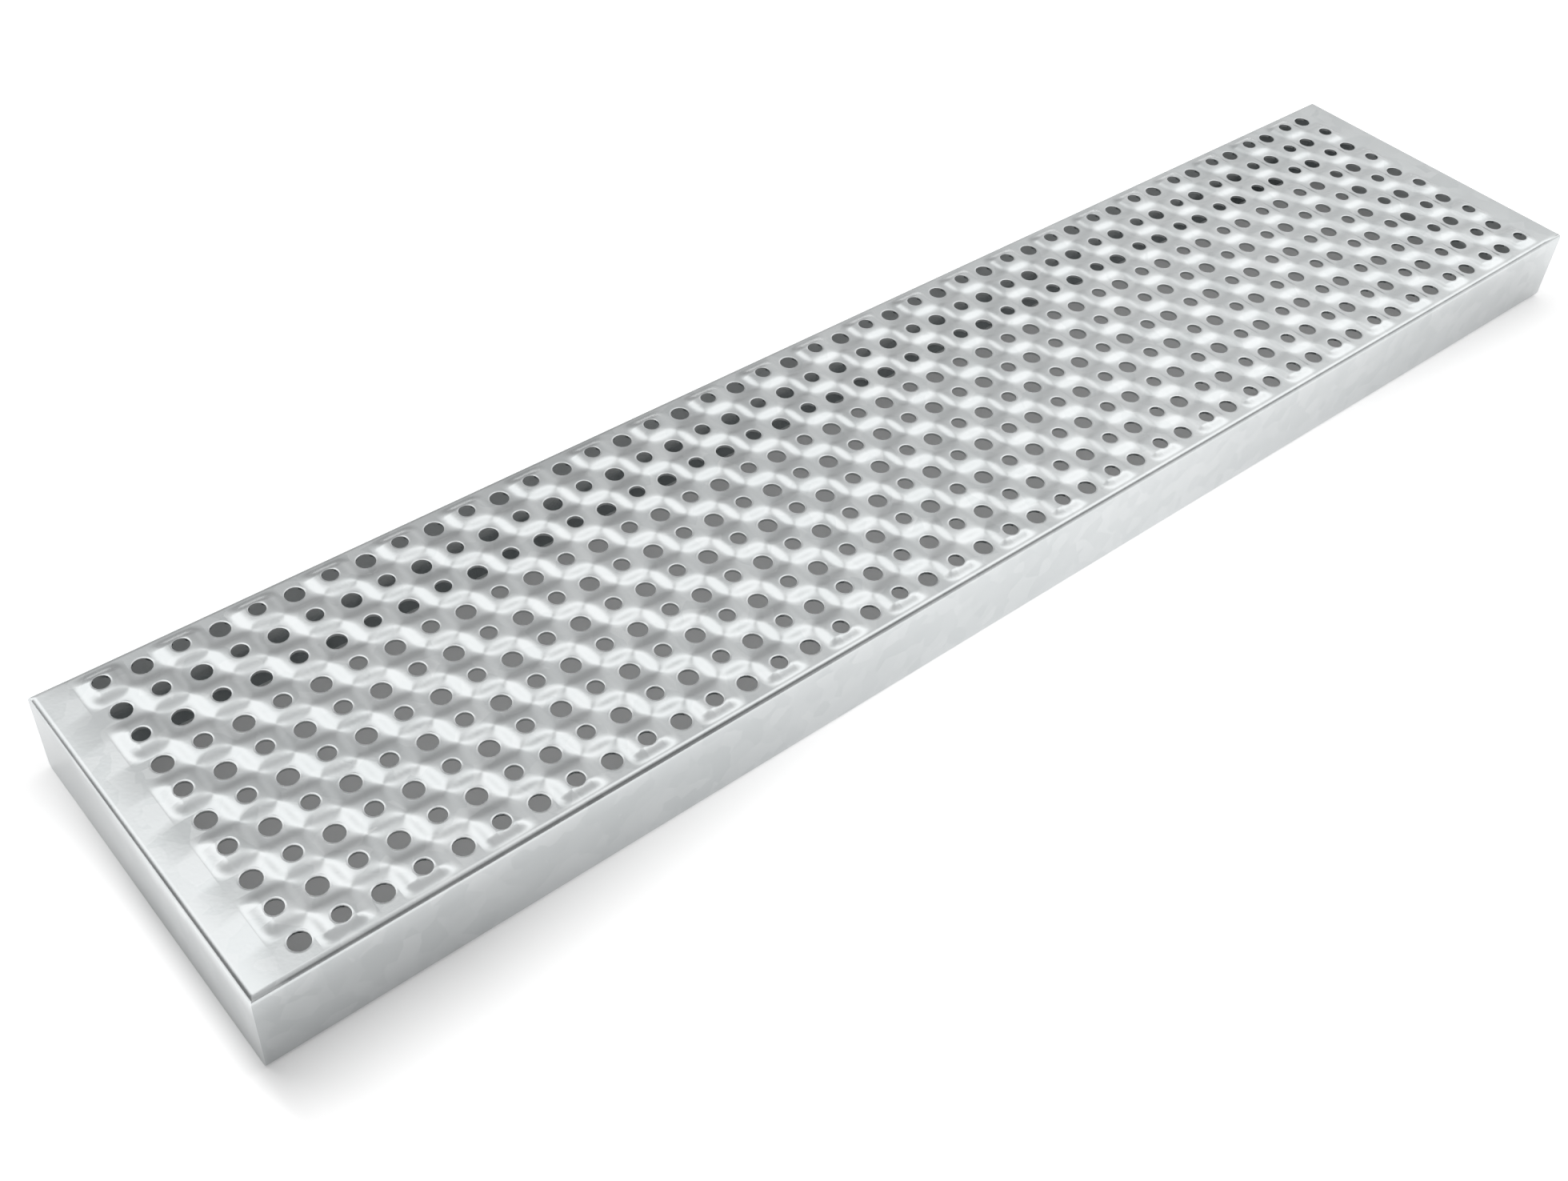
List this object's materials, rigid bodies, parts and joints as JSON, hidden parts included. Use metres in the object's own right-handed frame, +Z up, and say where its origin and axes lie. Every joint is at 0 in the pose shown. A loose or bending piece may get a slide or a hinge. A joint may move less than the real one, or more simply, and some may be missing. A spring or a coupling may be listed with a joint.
{
  "type": "perforated stair tread",
  "caption": "Stair tread folded from one perforated galvanised steel sheet: drain holes and raised grip buttons on top, skirts on all four sides and inward lips below.",
  "frame": {"origin": "middle of the rectangle that the tread stands on, at floor level", "axes": "+X along the tread's length, +Y across it from the near long side to the far one, +Z up out of the walking surface"},
  "size_m": [1.2, 0.26, 0.0645],
  "materials": {
    "galvanised_steel": "bright galvanised, faint spangle"
  },
  "bodies": {
    "root": {"tread_panel": "galvanised_steel"}
  },
  "joints": []
}
